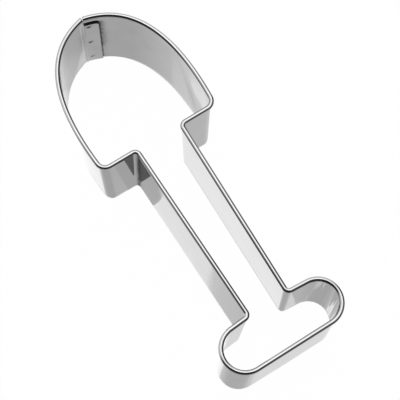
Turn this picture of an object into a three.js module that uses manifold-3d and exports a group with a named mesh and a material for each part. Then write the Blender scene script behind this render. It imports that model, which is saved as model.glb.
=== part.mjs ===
// Spade-shaped cookie cutter: one strip of stainless steel, rolled over along its top edge, bent round into the
// outline of a spade and lapped at the blade's tip, where spot welds hold its two ends together.
// Millimetres. +Z is up, towards the rolled rim. +Y points to the blade's tip. The cutting edge lies on Z = 0.
import * as THREE from "three";
import { mergeVertices } from "three/addons/utils/BufferGeometryUtils.js";
import Module from "manifold-3d";

// Strip and rolled rim
const bandHeight = 25; // cutting edge to the top of the rolled rim
const sheetThickness = 0.3;
const beadDiameter = 1.1; // over the outside of the roll
const wallSetBack = 0.15; // how far the wall steps in as it enters the roll
const setBackDepth = 0.6; // below the centre of the roll, where that step starts
const lipAngle = 75; // degrees below level, on the outer side, where the roll's lip ends

// Outline, on the centre line of the rolled rim
const rimLength = 84; // blade's tip to the end of the grip
const bladeLength = 31.6; // blade's tip to the shoulders
const bladeWidth = 27.9; // between the corners of the shoulders
const noseAngle = 12; // degrees each half of the blade's tip falls away from square
const flankAngle = 4; // degrees each flank opens out, going up from its shoulder
const shoulderRadius = 2;
const neckWidth = 11; // shaft, where it meets the blade
const neckRadius = 1.1;
const wristWidth = 9.4; // shaft, where it meets the grip
const wristRadius = 1;
const gripDepth = 10.1; // end of the grip to its wrist
const gripWidth = 27.7;
const gripEndRadius = 4.9;

// Lean of the walls: how much further out than the rim the cutting edge lies, at the tip and on each side.
// Its nose falls away by some degrees more than the rim's.
const edgeLean = { tip: 0.4, nose: 2, blade: -0.4, neck: 0.35, wrist: 0.6, grip: 0.25 };
const rimLean = { tip: 0, nose: 0, blade: 0, neck: 0, wrist: 0, grip: 0 };

// Lap at the blade's tip
const seamGap = 0.3; // between the two ends of the rolled rim
const tabLength = 3.5; // of the tongue that runs on inside the other end of the strip
const notchDepth = 3; // top of the rolled rim to the top of the tongue, where the strip's end is notched
const tabCornerRadius = 0.8;
const lapGap = 0.2; // between the tongue and the wall it lies against
const joggleLength = 0.9; // over which the wall steps in, before the seam

// Spot welds through the tongue and the wall
const weldNames = ["spot_weld_lower", "spot_weld_middle", "spot_weld_upper"];
const weldDiameter = 1.2;
const weldDistance = 1.1; // blade's tip to the welds' centres, along the strip
const weldFootMargin = 2.7; // cutting edge to the lowest weld's centre
const weldTopMargin = 1.2; // highest weld's centre to the top of the tongue
const weldDish = 0.06; // depth of the electrode's print, on both sides
const weldDishShare = 0.7; // of the weld's radius that the print covers
const weldClearance = 0.05; // round the fused metal, and below each face of the lap

// Fineness of the faceted surfaces
const lapStations = 6; // along the tongue, and as many along the joggle
const flankStations = 16;
const bendStations = 6; // round each bend of the shaft and shoulders
const gripStations = 14; // round each end of the grip
const rollSteps = 8; // round the outside of the roll
const boreSteps = 6; // round its inside
const weldSides = 20;
const cornerStations = 4; // round the corner of the tongue

const beadRadius = beadDiameter / 2;
const rollRadius = beadRadius - sheetThickness / 2; // of the middle of the rolled sheet
const boreRadius = beadRadius - sheetThickness;
const beadCentre = bandHeight - beadRadius; // height of the roll's centre
const setBackStart = beadCentre - setBackDepth;
const tabHeight = bandHeight - notchDepth; // of the tongue
const beadOffset = rollRadius - wallSetBack; // roll's centre, out from the wall
const lapStep = sheetThickness + lapGap; // middle of the tongue, in from the middle of the wall
const tipY = rimLength / 2;
const shoulderY = tipY - bladeLength;
const gripEndY = -rimLength / 2;
const wristY = gripEndY + gripDepth;

const polar = (radius, degrees) => {
  const angle = THREE.MathUtils.degToRad(degrees);
  return new THREE.Vector2(radius * Math.cos(angle), radius * Math.sin(angle));
};

// Arc that rounds the corner between the rays from it towards two points.
function bend(corner, towardsA, towardsB, radius) {
  const a = towardsA.clone().sub(corner).normalize();
  const b = towardsB.clone().sub(corner).normalize();
  const halfAngle = Math.acos(a.dot(b)) / 2;
  const setOff = radius / Math.tan(halfAngle);
  const inward = a.clone().add(b).normalize();
  const centre = corner.clone().addScaledVector(inward, radius / Math.sin(halfAngle));
  const start = corner.clone().addScaledVector(a, setOff);
  const end = corner.clone().addScaledVector(b, setOff);
  const from = start.clone().sub(centre).angle();
  const to = end.clone().sub(centre).angle();
  return new THREE.EllipseCurve(centre.x, centre.y, radius, radius, from, to, a.cross(b) > 0);
}

// Point where two lines cross, each given by a point on it and its direction in degrees.
function crossing(pointA, degreesA, pointB, degreesB) {
  const a = polar(1, degreesA);
  const b = polar(1, degreesB);
  const reach = pointB.clone().sub(pointA).cross(b) / a.cross(b);
  return pointA.clone().addScaledVector(a, reach);
}

// Point where the line from a point touches the blade's side of a circle.
function tangentPoint(point, centre, radius) {
  const span = centre.clone().sub(point);
  const swing = Math.asin(radius / span.length());
  const reach = Math.sqrt(span.lengthSq() - radius * radius);
  return polar(reach, THREE.MathUtils.radToDeg(span.angle() + swing)).add(point);
}

// The curved stretches of the outline's right half, from the blade's tip to the grip. Straight walls join them.
function rightHalf(lean) {
  const tip = new THREE.Vector2(0, tipY + lean.tip);
  const shoulder = new THREE.Vector2(bladeWidth / 2 + lean.blade, shoulderY);
  const neck = new THREE.Vector2(neckWidth / 2 + lean.neck, shoulderY);
  const wrist = new THREE.Vector2(wristWidth / 2 + lean.wrist, wristY);
  const gripX = gripWidth / 2 + lean.grip - gripEndRadius;
  const gripCentre = new THREE.Vector2(gripX, gripEndY + gripEndRadius);
  const touch = tangentPoint(wrist, gripCentre, gripEndRadius);

  const flankCorner = crossing(tip, -noseAngle - lean.nose, shoulder, 90 - flankAngle);
  const shoulderBend = bend(shoulder, flankCorner, neck, shoulderRadius);
  const flank = new THREE.QuadraticBezierCurve(tip, flankCorner, shoulderBend.getPoint(0));
  const touchAngle = touch.clone().sub(gripCentre).angle();
  return {
    flank,
    bends: [
      shoulderBend,
      bend(neck, shoulder, wrist, neckRadius),
      bend(wrist, neck, touch, wristRadius),
    ],
    gripEnd: new THREE.EllipseCurve(
      gripCentre.x, gripCentre.y, gripEndRadius, gripEndRadius, touchAngle, -Math.PI / 2, true,
    ),
  };
}

const rimHalf = rightHalf(rimLean);
const edgeHalf = rightHalf(edgeLean);
const flankLength = rimHalf.flank.getLength();

// A station is a place along the strip: its points on the rim and on the cutting edge, and the way outwards.
function station(rimCurve, edgeCurve, share) {
  const along = rimCurve.getTangentAt(share);
  return {
    rim: rimCurve.getPointAt(share),
    edge: edgeCurve.getPointAt(share),
    out: new THREE.Vector2(-along.y, along.x),
  };
}

const flankStation = (distance) =>
  station(rimHalf.flank, edgeHalf.flank, distance / flankLength);

function stationsRound(rimCurve, edgeCurve, steps) {
  return Array.from({ length: steps + 1 }, (_, i) => station(rimCurve, edgeCurve, i / steps));
}

const mirrored = ({ rim, edge, out }) => ({
  rim: new THREE.Vector2(-rim.x, rim.y),
  edge: new THREE.Vector2(-edge.x, edge.y),
  out: new THREE.Vector2(-out.x, out.y),
});

// Distances from the tip of evenly spaced stations, both ends included.
function spaced(first, last, steps) {
  return Array.from({ length: steps + 1 }, (_, i) => THREE.MathUtils.lerp(first, last, i / steps));
}

const seamDistance = seamGap / 2;
const joggleStart = seamDistance + joggleLength;
const flankRest = spaced(joggleStart, flankLength, flankStations).slice(1, -1);
const joggleStations = spaced(seamDistance, joggleStart, lapStations).map(flankStation);
const restOfHalf = [
  ...flankRest.map(flankStation),
  ...rimHalf.bends.flatMap((curve, i) => stationsRound(curve, edgeHalf.bends[i], bendStations)),
  ...stationsRound(rimHalf.gripEnd, edgeHalf.gripEnd, gripStations),
];
const rightStations = [...joggleStations, ...restOfHalf];
const leftRest = restOfHalf.map(mirrored).reverse();
const leftJoggle = joggleStations.map(mirrored).reverse();

// Point on a station, at a distance out from the rolled rim's centre line and at a height.
function place({ rim, edge, out }, offset, height) {
  const base = edge.clone().lerp(rim, height / beadCentre).addScaledVector(out, offset);
  return new THREE.Vector3(base.x, base.y, height);
}

// Middle of the wall below the roll: on the line between the edge and the rim at the bottom, set in evenly as far
// as the step under the rim, and stepped in to the roll above that.
function wallOffset(height) {
  if (height <= setBackStart) return (-beadOffset * height) / setBackStart;
  return THREE.MathUtils.mapLinear(height, setBackStart, beadCentre, -beadOffset, -rollRadius);
}

// Section of the strip as [offset, height] pairs, anticlockwise with the outside of the cutter to the right.
// Its first and its last points, as many as there are tongue heights, bound the tongue.
const half = sheetThickness / 2;
const wallHeights = [...new Set([0, tabHeight, setBackStart])].sort((a, b) => a - b);
const tongueHeights = wallHeights.filter((height) => height <= tabHeight);
const rollPoint = (radius, degrees) => {
  const onRoll = polar(radius, degrees);
  return [onRoll.x, beadCentre + onRoll.y];
};
const section = [
  ...wallHeights.map((height) => [wallOffset(height) + half, height]),
  ...spaced(180, -lipAngle, boreSteps).map((degrees) => rollPoint(boreRadius, degrees)),
  ...spaced(-lipAngle, 180, rollSteps).map((degrees) => rollPoint(beadRadius, degrees)),
  ...wallHeights.toReversed().map((height) => [wallOffset(height) - half, height]),
];

// One ring of points round the section. A step moves the part of the wall that becomes the tongue inwards.
function bandRing(at, step = 0) {
  return section.map(([offset, height]) => place(at, height > tabHeight ? offset : offset - step, height));
}

// One ring of points round the tongue, whose top drops away round its corner.
function tabRing(at, top) {
  const levels = tongueHeights.map((height) => (height / tabHeight) * top);
  const face = (side) => (height) => place(at, wallOffset(height) - lapStep + side, height);
  return [...levels.map(face(half)), ...levels.toReversed().map(face(-half))];
}

const cornerStart = tabLength - tabCornerRadius;
const roundCorner = (degrees) => cornerStart + polar(tabCornerRadius, degrees).x;
const tabDistances = [
  ...spaced(seamDistance, cornerStart, lapStations),
  ...spaced(90, 0, cornerStations).slice(1).map(roundCorner),
];

function tabTop(distance) {
  const intoCorner = Math.max(0, distance - cornerStart);
  return tabHeight - tabCornerRadius + Math.sqrt(tabCornerRadius ** 2 - intoCorner ** 2);
}

// The strip as one closed surface: rings of the section from one end to the other, then the tongue.
function bandGeometry() {
  const rings = [
    ...[...rightStations, ...leftRest].map((at) => bandRing(at)),
    ...leftJoggle.map((at, i) => bandRing(at, lapStep * THREE.MathUtils.smoothstep(i, 0, lapStations))),
  ];
  const tabRings = tabDistances.map((distance) => tabRing(flankStation(distance), tabTop(distance)));
  const ringSize = section.length;
  const lastRing = (rings.length - 1) * ringSize;
  const firstTabRing = rings.length * ringSize;
  const triangles = [];
  const quad = (a, b, c, d) => triangles.push(a, b, c, a, c, d);
  const skin = (from, to) => from.forEach((point, i) => {
    const next = (i + 1) % from.length;
    quad(point, from[next], to[next], to[i]);
  });

  const wholeRing = [...section.keys()];
  rings.slice(1).forEach((_, i) => {
    const start = i * ringSize;
    skin(wholeRing.map((k) => start + k), wholeRing.map((k) => start + ringSize + k));
  });
  const flatSection = section.map(([offset, height]) => new THREE.Vector2(offset, height));
  THREE.ShapeUtils.triangulateShape(flatSection, []).forEach(([a, b, c]) => triangles.push(a, c, b));
  const levels = tongueHeights.length;
  const aboveTab = wholeRing.slice(levels - 1, ringSize - levels + 1);
  THREE.ShapeUtils.triangulateShape(aboveTab.map((k) => flatSection[k]), []).forEach((face) =>
    triangles.push(...face.map((k) => lastRing + aboveTab[k])),
  );

  let previous = [...wholeRing.slice(0, levels), ...wholeRing.slice(-levels)].map((k) => lastRing + k);
  tabRings.forEach((ring, i) => {
    const current = ring.map((_, k) => firstTabRing + i * ring.length + k);
    skin(previous, current);
    previous = current;
  });
  tongueHeights.slice(1).forEach((_, i) => {
    quad(previous[i], previous[i + 1], previous.at(-i - 2), previous.at(-i - 1));
  });

  const points = [...rings, ...tabRings].flat();
  return new THREE.BufferGeometry().setFromPoints(points).setIndex(triangles);
}

// Frame of a weld: its place in the middle of the lap, with +Y along the way out through the wall.
function weldFrame(height) {
  const at = flankStation(weldDistance);
  const out = new THREE.Vector3(at.out.x, at.out.y, 0);
  const frame = new THREE.Group();
  frame.position.copy(place(at, wallOffset(height) - lapStep / 2, height));
  frame.quaternion.setFromUnitVectors(new THREE.Vector3(0, 1, 0), out);
  frame.updateMatrix();
  return frame;
}

const lapThickness = lapStep + sheetThickness;
const weldHeights = spaced(weldFootMargin, tabHeight - weldTopMargin, weldNames.length - 1);
const weldFrames = weldHeights.map(weldFrame);

const wasm = await Module();
wasm.setup();

// A closed geometry as a solid, with its shared vertices merged.
function solidOf(geometry) {
  const bare = new THREE.BufferGeometry()
    .setAttribute("position", geometry.getAttribute("position"))
    .setIndex(geometry.getIndex());
  const merged = mergeVertices(bare);
  return new wasm.Manifold(
    new wasm.Mesh({
      numProp: 3,
      vertProperties: merged.getAttribute("position").array,
      triVerts: new Uint32Array(merged.getIndex().array),
    }),
  );
}

function geometryOf(solid) {
  const { vertProperties, triVerts } = solid.getMesh();
  return new THREE.BufferGeometry()
    .setAttribute("position", new THREE.BufferAttribute(vertProperties, 3))
    .setIndex(new THREE.BufferAttribute(triVerts, 1));
}

// The strip with a hole through the lap at each weld, where its metal has fused into the weld.
function weldedBandGeometry() {
  const holeRadius = weldDiameter / 2 + weldClearance;
  const holeLength = lapThickness + lapStep;
  const drilled = weldFrames.reduce((solid, frame) => {
    const hole = new THREE.CylinderGeometry(holeRadius, holeRadius, holeLength, weldSides);
    return solid.subtract(solidOf(hole.applyMatrix4(frame.matrix)));
  }, solidOf(bandGeometry()));
  return geometryOf(drilled);
}

// A weld's fused metal, turned on its own axis, with the electrode's print dished into both ends.
function weldGeometry() {
  const radius = weldDiameter / 2;
  const face = lapThickness / 2 - weldClearance;
  const profile = [
    [0, -face + weldDish],
    [radius * weldDishShare, -face],
    [radius, -face],
    [radius, face],
    [radius * weldDishShare, face],
    [0, face - weldDish],
  ];
  return new THREE.LatheGeometry(profile.map(([x, y]) => new THREE.Vector2(x, y)), weldSides);
}

const brightSteel = new THREE.MeshStandardMaterial({ color: 0xd0d0d0, metalness: 1, roughness: 0.15 });
const fusedSteel = new THREE.MeshStandardMaterial({ color: 0x9b9a98, metalness: 1, roughness: 0.4 });

const cutter = new THREE.Group();
const band = new THREE.Mesh(weldedBandGeometry(), brightSteel);
band.name = "steel_band";
cutter.add(band);
weldFrames.forEach((frame, i) => {
  const weld = new THREE.Mesh(weldGeometry(), fusedSteel);
  weld.name = weldNames[i];
  frame.add(weld);
  cutter.add(frame);
});

export default cutter;
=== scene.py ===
"""Looks of a spade-shaped cookie cutter bent from bright steel strip.

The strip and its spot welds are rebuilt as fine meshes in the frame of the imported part, each in its own
finish, and stand on a pale floor under soft studio light. Sizes in the classes are in millimetres.
"""

import logging
import math
from dataclasses import dataclass, field
from enum import Enum

import bpy
import numpy as np
from mathutils import Matrix


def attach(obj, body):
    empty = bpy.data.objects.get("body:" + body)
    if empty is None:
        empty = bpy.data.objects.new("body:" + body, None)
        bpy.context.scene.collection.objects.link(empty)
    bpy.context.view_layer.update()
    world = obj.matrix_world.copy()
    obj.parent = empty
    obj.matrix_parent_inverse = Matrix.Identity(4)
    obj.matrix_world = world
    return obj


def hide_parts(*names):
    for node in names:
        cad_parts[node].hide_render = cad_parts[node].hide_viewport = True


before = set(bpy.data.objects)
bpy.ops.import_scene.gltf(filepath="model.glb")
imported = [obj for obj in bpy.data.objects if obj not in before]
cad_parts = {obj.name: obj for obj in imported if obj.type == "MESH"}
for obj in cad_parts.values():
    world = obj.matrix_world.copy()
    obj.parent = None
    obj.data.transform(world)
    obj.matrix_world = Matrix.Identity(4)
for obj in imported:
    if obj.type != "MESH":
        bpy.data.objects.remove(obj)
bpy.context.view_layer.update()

LOG = logging.getLogger("cutter")
MM = 0.001  # metres in a millimetre


class Slot(Enum):
    """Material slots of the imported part's record."""

    STRIP = "bright_steel"
    WELD = "fused_steel"


class WeldPlace(Enum):
    """Places of the spot welds along the height of the lap, with each weld's node."""

    LOWER = "spot_weld_lower"
    MIDDLE = "spot_weld_middle"
    UPPER = "spot_weld_upper"


def smooth_step(share: np.ndarray) -> np.ndarray:
    """Eases from 0 to 1 as three t squared less two t cubed, with t held between 0 and 1.

    Args:
        share: how far along the step each value is.

    Returns:
        The eased values.
    """
    held = np.clip(share, 0.0, 1.0)
    return held * held * (3.0 - 2.0 * held)


def run_lengths(points: np.ndarray) -> np.ndarray:
    """Distance along a row of points, from the first: the running sum of the steps between them.

    Args:
        points: the row of points, one to a line.

    Returns:
        One distance for each point.
    """
    steps = np.linalg.norm(np.diff(points, axis=0), axis=1)
    return np.concatenate([[0.0], np.cumsum(steps)])


def unit_ways(points: np.ndarray) -> np.ndarray:
    """Unit way along a row of points, at each of them: their rate of change with the distance along."""
    way = np.gradient(points, run_lengths(points), axis=0, edge_order=2)
    return way / np.linalg.norm(way, axis=1, keepdims=True)


def read_along(wanted: np.ndarray, along: np.ndarray, rows: np.ndarray) -> np.ndarray:
    """Rows of numbers read at some distances along them, on straight lines between the nearest two."""
    return np.column_stack([np.interp(wanted, along, column) for column in rows.T])


def bell(distance: np.ndarray, reach: float) -> np.ndarray:
    """Bell curve: e to the power of minus the square of distance over reach."""
    return np.exp(-((distance / reach) ** 2))


def turned(degrees: float) -> np.ndarray:
    """Unit vector at an angle from the first axis."""
    return np.array([math.cos(math.radians(degrees)), math.sin(math.radians(degrees))])


def line_points(start: np.ndarray, end: np.ndarray, count: int) -> np.ndarray:
    """Evenly spaced points inside a straight line, without its two ends.

    Args:
        start: first end of the line.
        end: other end of the line.
        count: how many points to give.

    Returns:
        The points, one to a line.
    """
    share = np.linspace(0.0, 1.0, count + 2)[1:-1, None]
    return start + (end - start) * share


def arc_points(centre: np.ndarray, radius: float, start: float, end: float, count: int) -> np.ndarray:
    """Evenly spaced points round an arc, with its two ends.

    Args:
        centre: centre of the arc.
        radius: radius of the arc.
        start: angle of the first point, in radians.
        end: angle of the last point, in radians.
        count: how many points to give.

    Returns:
        The points, one to a line.
    """
    angle = np.linspace(start, end, count)
    return centre + radius * np.column_stack([np.cos(angle), np.sin(angle)])


def angle_of(vector: np.ndarray) -> float:
    """Angle of a vector from the first axis, in radians."""
    return math.atan2(vector[1], vector[0])


def corner_bend(
    corner: np.ndarray, before: np.ndarray, after: np.ndarray, radius: float, count: int
) -> np.ndarray:
    """Arc that rounds a corner between the lines to the points before and after it.

    The arc touches both lines at radius over the tangent of half the corner's angle from the corner, and
    its centre lies on the line that halves that angle.

    Args:
        corner: the sharp corner.
        before: a point on the line that comes to the corner.
        after: a point on the line that leaves it.
        radius: radius of the arc.
        count: how many points to give.

    Returns:
        Points from the first line round to the second.
    """
    back = (before - corner) / np.linalg.norm(before - corner)
    ahead = (after - corner) / np.linalg.norm(after - corner)
    half_angle = math.acos(float(back @ ahead)) / 2.0
    inward = (back + ahead) / np.linalg.norm(back + ahead)
    centre = corner + inward * radius / math.sin(half_angle)
    reach = radius / math.tan(half_angle)
    start = angle_of(corner + back * reach - centre)
    end = angle_of(corner + ahead * reach - centre)
    sweep = (end - start + math.pi) % (2.0 * math.pi) - math.pi
    return arc_points(centre, radius, start, start + sweep, count)


def rounded_end(half_width: float, depth: float, start: float, count: int, squareness: float) -> np.ndarray:
    """Rounded end of a sheet: half a squared ellipse, from one face of the sheet to the other.

    Both parts of the ellipse are a cosine and a sine raised to 2 over the squareness, with their signs kept.

    Args:
        half_width: half the sheet's thickness.
        depth: how far the end stands out from where the faces stop.
        start: angle of the first face, in radians. The other face is half a turn on.
        count: how many points to give, without the two faces.
        squareness: 2 for a plain ellipse, and more for a squarer end.

    Returns:
        Points across and along the sheet, one pair to a line.
    """
    angle = np.linspace(start, start + math.pi, count + 2)[1:-1]
    across = np.sign(np.cos(angle)) * np.abs(np.cos(angle)) ** (2.0 / squareness)
    along = np.sign(np.sin(angle)) * np.abs(np.sin(angle)) ** (2.0 / squareness)
    return np.column_stack([half_width * across, depth * along])


@dataclass(frozen=True)
class Stations:
    """Places along the strip: points on the rim and the cutting edge, and the way outwards at each."""

    rim: np.ndarray
    edge: np.ndarray
    out: np.ndarray

    def mirrored(self) -> "Stations":
        """The same places on the other side of the spade, in the opposite order."""
        flip = np.array([-1.0, 1.0])
        return Stations(self.rim[::-1] * flip, self.edge[::-1] * flip, self.out[::-1] * flip)

    def joined(self, other: "Stations") -> "Stations":
        """These places and then the other ones.

        Args:
            other: the places to add.

        Returns:
            All the places in one row.
        """
        return Stations(
            np.concatenate([self.rim, other.rim]),
            np.concatenate([self.edge, other.edge]),
            np.concatenate([self.out, other.out]),
        )

    def between(self, other: "Stations", count: int) -> "Stations":
        """Places that turn evenly from the last of these to the first of the others.

        Args:
            other: the stations to turn towards.
            count: how many places to give, without either end.

        Returns:
            The places between, with the way outwards kept at unit length.
        """
        share = np.linspace(0.0, 1.0, count + 2)[1:-1, None]
        out = self.out[-1] + (other.out[0] - self.out[-1]) * share
        return Stations(
            self.rim[-1] + (other.rim[0] - self.rim[-1]) * share,
            self.edge[-1] + (other.edge[0] - self.edge[-1]) * share,
            out / np.linalg.norm(out, axis=1, keepdims=True),
        )

    def part(self, first: int, last: int) -> "Stations":
        """The places from one number up to another."""
        return Stations(self.rim[first:last], self.edge[first:last], self.out[first:last])

    def place(self, offset: np.ndarray, height: np.ndarray, rim_height: float) -> np.ndarray:
        """Carries a profile along the stations.

        A point is the edge's point, moved towards the rim's by height over rim height, and then moved
        outwards by its offset.

        Args:
            offset: distance out of each point, for each station and place round the profile.
            height: height of each point, in the same shape.
            rim_height: height at which the rim's points lie.

        Returns:
            Points for each station and place round the profile.
        """
        share = (height / rim_height)[..., None]
        base = self.edge[:, None, :] * (1.0 - share) + self.rim[:, None, :] * share
        flat = base + self.out[:, None, :] * offset[..., None]
        return np.concatenate([flat, height[..., None]], axis=-1)


@dataclass(frozen=True)
class Lean:
    """How much further out than the rim a line lies, at the tip and at four places of each side."""

    tip: float = 0.0
    nose: float = 0.0  # degrees more that each half of the tip falls away
    blade: float = 0.0
    neck: float = 0.0
    wrist: float = 0.0
    grip: float = 0.0


@dataclass(frozen=True)
class SpadeOutline:
    """Outline of the spade, on the rolled rim's centre line, seen from above with the tip at the top."""

    length: float = 84.0
    blade_length: float = 31.6
    blade_width: float = 27.9
    nose_angle: float = 12.0  # degrees each half of the tip falls away from square
    flank_angle: float = 4.0  # degrees each flank opens out, going up from its shoulder
    shoulder_radius: float = 2.0
    neck_width: float = 11.0
    neck_radius: float = 1.1
    wrist_width: float = 9.4
    wrist_radius: float = 1.0
    grip_depth: float = 10.1
    grip_width: float = 27.7
    grip_end_radius: float = 4.9
    edge_lean: Lean = Lean(tip=0.4, nose=2.0, blade=-0.4, neck=0.35, wrist=0.6, grip=0.25)
    rim_lean: Lean = Lean()
    bend_points: int = 18  # round each bend
    shoulder_points: int = 10  # along each shoulder
    shaft_points: int = 34
    wrist_points: int = 8  # from each wrist's bend to the grip's round end
    grip_points: int = 44  # round each end of the grip
    foot_points: int = 12  # along half the straight end of the grip
    fine_points: int = 2000  # for measuring along the flank

    def corners(self, lean: Lean) -> dict[str, np.ndarray]:
        """Sharp corners of the right half, and the point where its nose and flank lines cross.

        Args:
            lean: how far out the line lies from the rim.

        Returns:
            Points by name.
        """
        top = self.length / 2.0
        shoulder = np.array([self.blade_width / 2.0 + lean.blade, top - self.blade_length])
        wrist_y = self.grip_depth - self.length / 2.0
        tip = np.array([0.0, top + lean.tip])
        nose = turned(-self.nose_angle - lean.nose)
        flank = turned(90.0 - self.flank_angle)
        gap = shoulder - tip
        reach = (gap[0] * flank[1] - gap[1] * flank[0]) / (nose[0] * flank[1] - nose[1] * flank[0])
        return {
            "tip": tip,
            "cross": tip + nose * reach,
            "shoulder": shoulder,
            "neck": np.array([self.neck_width / 2.0 + lean.neck, shoulder[1]]),
            "wrist": np.array([self.wrist_width / 2.0 + lean.wrist, wrist_y]),
            "grip": np.array(
                [
                    self.grip_width / 2.0 + lean.grip - self.grip_end_radius,
                    self.grip_end_radius - self.length / 2.0,
                ]
            ),
        }

    def shoulder_bend(self, lean: Lean) -> np.ndarray:
        """Points round the bend between a flank and its shoulder."""
        at = self.corners(lean)
        return corner_bend(at["shoulder"], at["cross"], at["neck"], self.shoulder_radius, self.bend_points)

    def flank_curve(self, lean: Lean) -> np.ndarray:
        """Fine points of the flank, a curve of the second degree from the tip to the shoulder's bend.

        With t from 0 to 1, the curve is the tip times (1 - t) squared, the crossing point times
        2 t (1 - t) and the start of the bend times t squared.

        Args:
            lean: how far out the line lies from the rim.

        Returns:
            Points from the tip to the bend.
        """
        at = self.corners(lean)
        end = self.shoulder_bend(lean)[0]
        t = np.linspace(0.0, 1.0, self.fine_points)[:, None]
        return at["tip"] * (1.0 - t) ** 2 + at["cross"] * 2.0 * t * (1.0 - t) + end * t**2

    def flank_length(self) -> float:
        """Length of the flank along the rim."""
        return float(run_lengths(self.flank_curve(self.rim_lean))[-1])

    def flank_at(self, distance: np.ndarray, lean: Lean) -> np.ndarray:
        """Points on the flank at the shares of its length that these distances are of the rim's.

        Args:
            distance: distances along the flank's rim.
            lean: how far out the line lies from the rim.

        Returns:
            The points, one to a line.
        """
        curve = self.flank_curve(lean)
        along = run_lengths(curve)
        return read_along(distance / self.flank_length() * along[-1], along, curve)

    def flank_stations(self, distance: np.ndarray) -> Stations:
        """Stations on the right flank at distances from the tip.

        Args:
            distance: distances along the flank's rim.

        Returns:
            The stations, with the way outwards read from the fine curve.
        """
        curve = self.flank_curve(self.rim_lean)
        out = read_along(distance, run_lengths(curve), self.outwards(curve))
        rim = self.flank_at(distance, self.rim_lean)
        return Stations(rim, self.flank_at(distance, self.edge_lean), out)

    def below_flank(self, lean: Lean) -> np.ndarray:
        """Right half from the shoulder's bend to the middle of the grip's straight end.

        Args:
            lean: how far out the line lies from the rim.

        Returns:
            Points along the shoulder, shaft and grip.
        """
        at = self.corners(lean)
        span = at["grip"] - at["wrist"]
        reach = math.sqrt(float(span @ span) - self.grip_end_radius**2)
        swing = angle_of(span) + math.asin(self.grip_end_radius / np.linalg.norm(span))
        touch = at["wrist"] + reach * turned(math.degrees(swing))
        shoulder = self.shoulder_bend(lean)
        neck = corner_bend(at["neck"], at["shoulder"], at["wrist"], self.neck_radius, self.bend_points)
        wrist = corner_bend(at["wrist"], at["neck"], touch, self.wrist_radius, self.bend_points)
        start = angle_of(touch - at["grip"])
        grip = arc_points(at["grip"], self.grip_end_radius, start, -math.pi / 2.0, self.grip_points)
        foot = np.array([0.0, -self.length / 2.0])
        return np.concatenate(
            [
                shoulder,
                line_points(shoulder[-1], neck[0], self.shoulder_points),
                neck,
                line_points(neck[-1], wrist[0], self.shaft_points),
                wrist,
                line_points(wrist[-1], grip[0], self.wrist_points),
                grip,
                line_points(grip[-1], foot, self.foot_points),
                foot[None, :],
            ]
        )

    @staticmethod
    def outwards(points: np.ndarray) -> np.ndarray:
        """Way outwards at each point: a quarter turn left of the way along."""
        way = unit_ways(points)
        return np.column_stack([-way[:, 1], way[:, 0]])

    def half(self, distance: np.ndarray) -> Stations:
        """Stations of the whole right half, with those on the flank at given distances from the tip.

        Args:
            distance: distances along the flank's rim, short of the shoulder's bend.

        Returns:
            Stations from the tip to the middle of the grip's end.
        """
        lines = [
            np.concatenate([self.flank_at(distance, lean), self.below_flank(lean)])
            for lean in (self.rim_lean, self.edge_lean)
        ]
        return Stations(lines[0], lines[1], self.outwards(lines[0]))


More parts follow.
